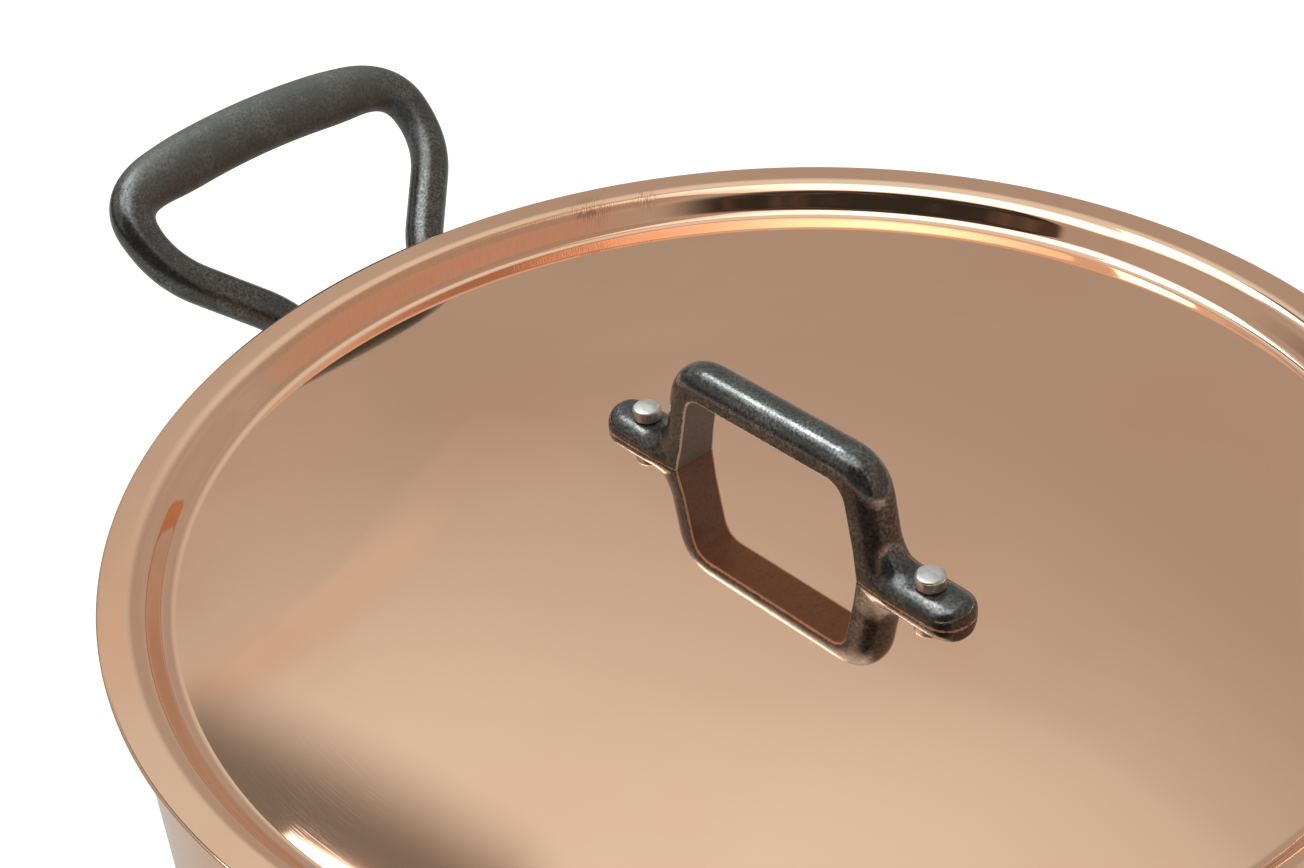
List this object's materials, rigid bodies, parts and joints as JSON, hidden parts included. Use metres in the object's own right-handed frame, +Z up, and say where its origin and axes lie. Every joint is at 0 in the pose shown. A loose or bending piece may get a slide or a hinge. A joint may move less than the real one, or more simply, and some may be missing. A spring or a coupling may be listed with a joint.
{
  "type": "braising pan",
  "caption": "Round straight-sided copper braising pan with a steel lining, riveted cast-iron loop handles and a lift-off lid with a recessed panel and a riveted cast-iron handle.",
  "frame": {"origin": "centre of the pan's flat underside, on the pan's axis", "axes": "+Z up along the pan's axis; +X towards one loop handle and -X towards the other"},
  "size_m": [0.3874, 0.2916, 0.125],
  "materials": {
    "copper": null,
    "steel_lining": "brushed in circles",
    "cast_iron": "dark satin with a fine casting grain",
    "rivet_steel": "satin"
  },
  "bodies": {
    "pan": {"pan_body": "copper", "pan_lining": "steel_lining", "side_handle_right": "cast_iron", "side_rivet_right_1": "rivet_steel", "side_rivet_right_2": "rivet_steel", "side_rivet_right_3": "rivet_steel", "side_rivet_right_4": "rivet_steel", "side_handle_left": "cast_iron", "side_rivet_left_1": "rivet_steel", "side_rivet_left_2": "rivet_steel", "side_rivet_left_3": "rivet_steel", "side_rivet_left_4": "rivet_steel"},
    "lid": {"lid_shell": "copper", "lid_lining": "steel_lining", "lid_handle": "cast_iron", "lid_rivet_1": "rivet_steel", "lid_rivet_2": "rivet_steel"}
  },
  "joints": [
    {"name": "lid_lift", "type": "slide", "parent": "pan", "child": "lid", "axis": [0, 0, 1], "range_m": [0, 0.15]}
  ]
}
